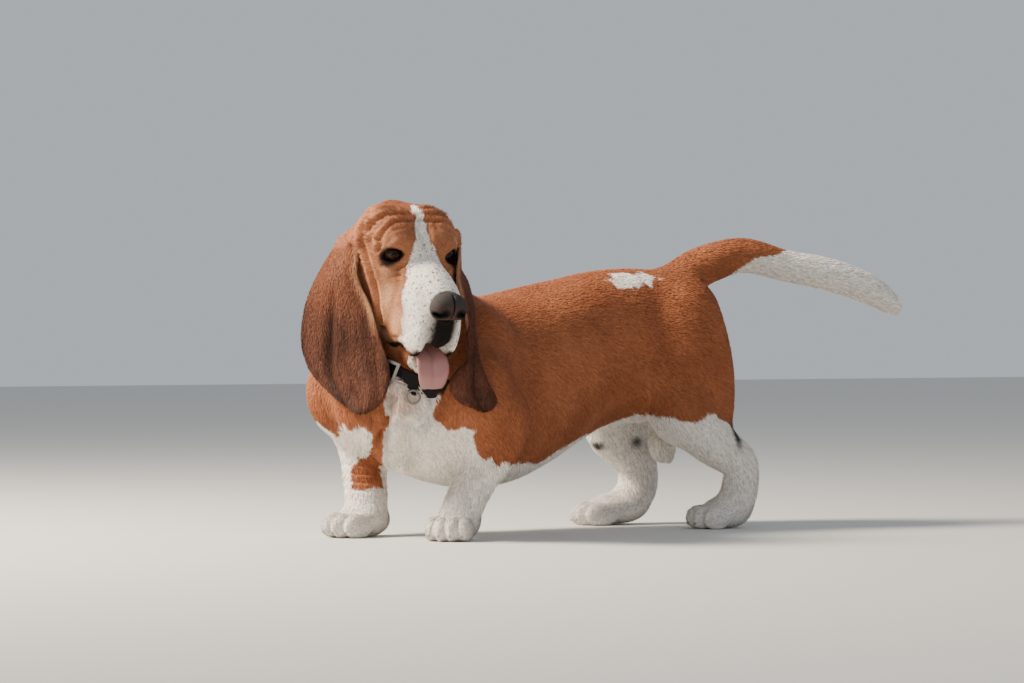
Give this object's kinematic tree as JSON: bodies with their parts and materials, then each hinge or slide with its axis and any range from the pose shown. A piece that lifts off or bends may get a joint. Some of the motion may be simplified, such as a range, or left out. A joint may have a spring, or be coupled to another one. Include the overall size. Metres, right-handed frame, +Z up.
{
  "type": "basset hound model",
  "caption": "Life-size still model of a standing basset hound with long hanging ears, its body bent and head turned to the left",
  "frame": {"origin": "centre of the bounding box in plan, on the floor under the paws", "axes": "+Z is up; the animal stands along X with its tail towards +X and its breast towards -X; its left side is towards -Y"},
  "size_m": [0.9796, 0.3884, 0.4589],
  "materials": {
    "coat_rust": "short, dense hound coat, red-brown, lying flat",
    "coat_ear": "velvety short coat on the ears, dark chestnut",
    "coat_white": "short white coat on tail tip, belly, chest, feet and blaze",
    "nose_leather": "moist pebbled nose leather, dark brown to black",
    "tongue_skin": "wet pink tongue",
    "eye_cornea": "wet dark brown eye",
    "claw_horn": "horn, dull sheen",
    "collar_leather": "black flat strap, worn soft",
    "collar_metal": "nickel-coloured buckle and ring"
  },
  "bodies": {
    "root": {"abdomen": "coat_rust", "chest": "coat_rust", "collar_buckle": "collar_metal", "collar_ring": "collar_metal", "collar_strap": "collar_leather", "ear_left": "coat_ear", "ear_right": "coat_ear", "eye_left": "eye_cornea", "eye_right": "eye_cornea", "foreleg_left": "coat_white", "foreleg_left_paw": "coat_white", "foreleg_right": "coat_white", "foreleg_right_paw": "coat_white", "head": "coat_rust", "hindleg_left": "coat_white", "hindleg_left_paw": "coat_white", "hindleg_right": "coat_white", "hindleg_right_paw": "coat_white", "hindquarters": "coat_rust", "lower_jaw": "coat_rust", "neck": "coat_rust", "nose": "nose_leather", "tail_middle": "coat_rust", "tail_root": "coat_rust", "tail_tip": "coat_white", "tongue": "tongue_skin"}
  },
  "joints": []
}
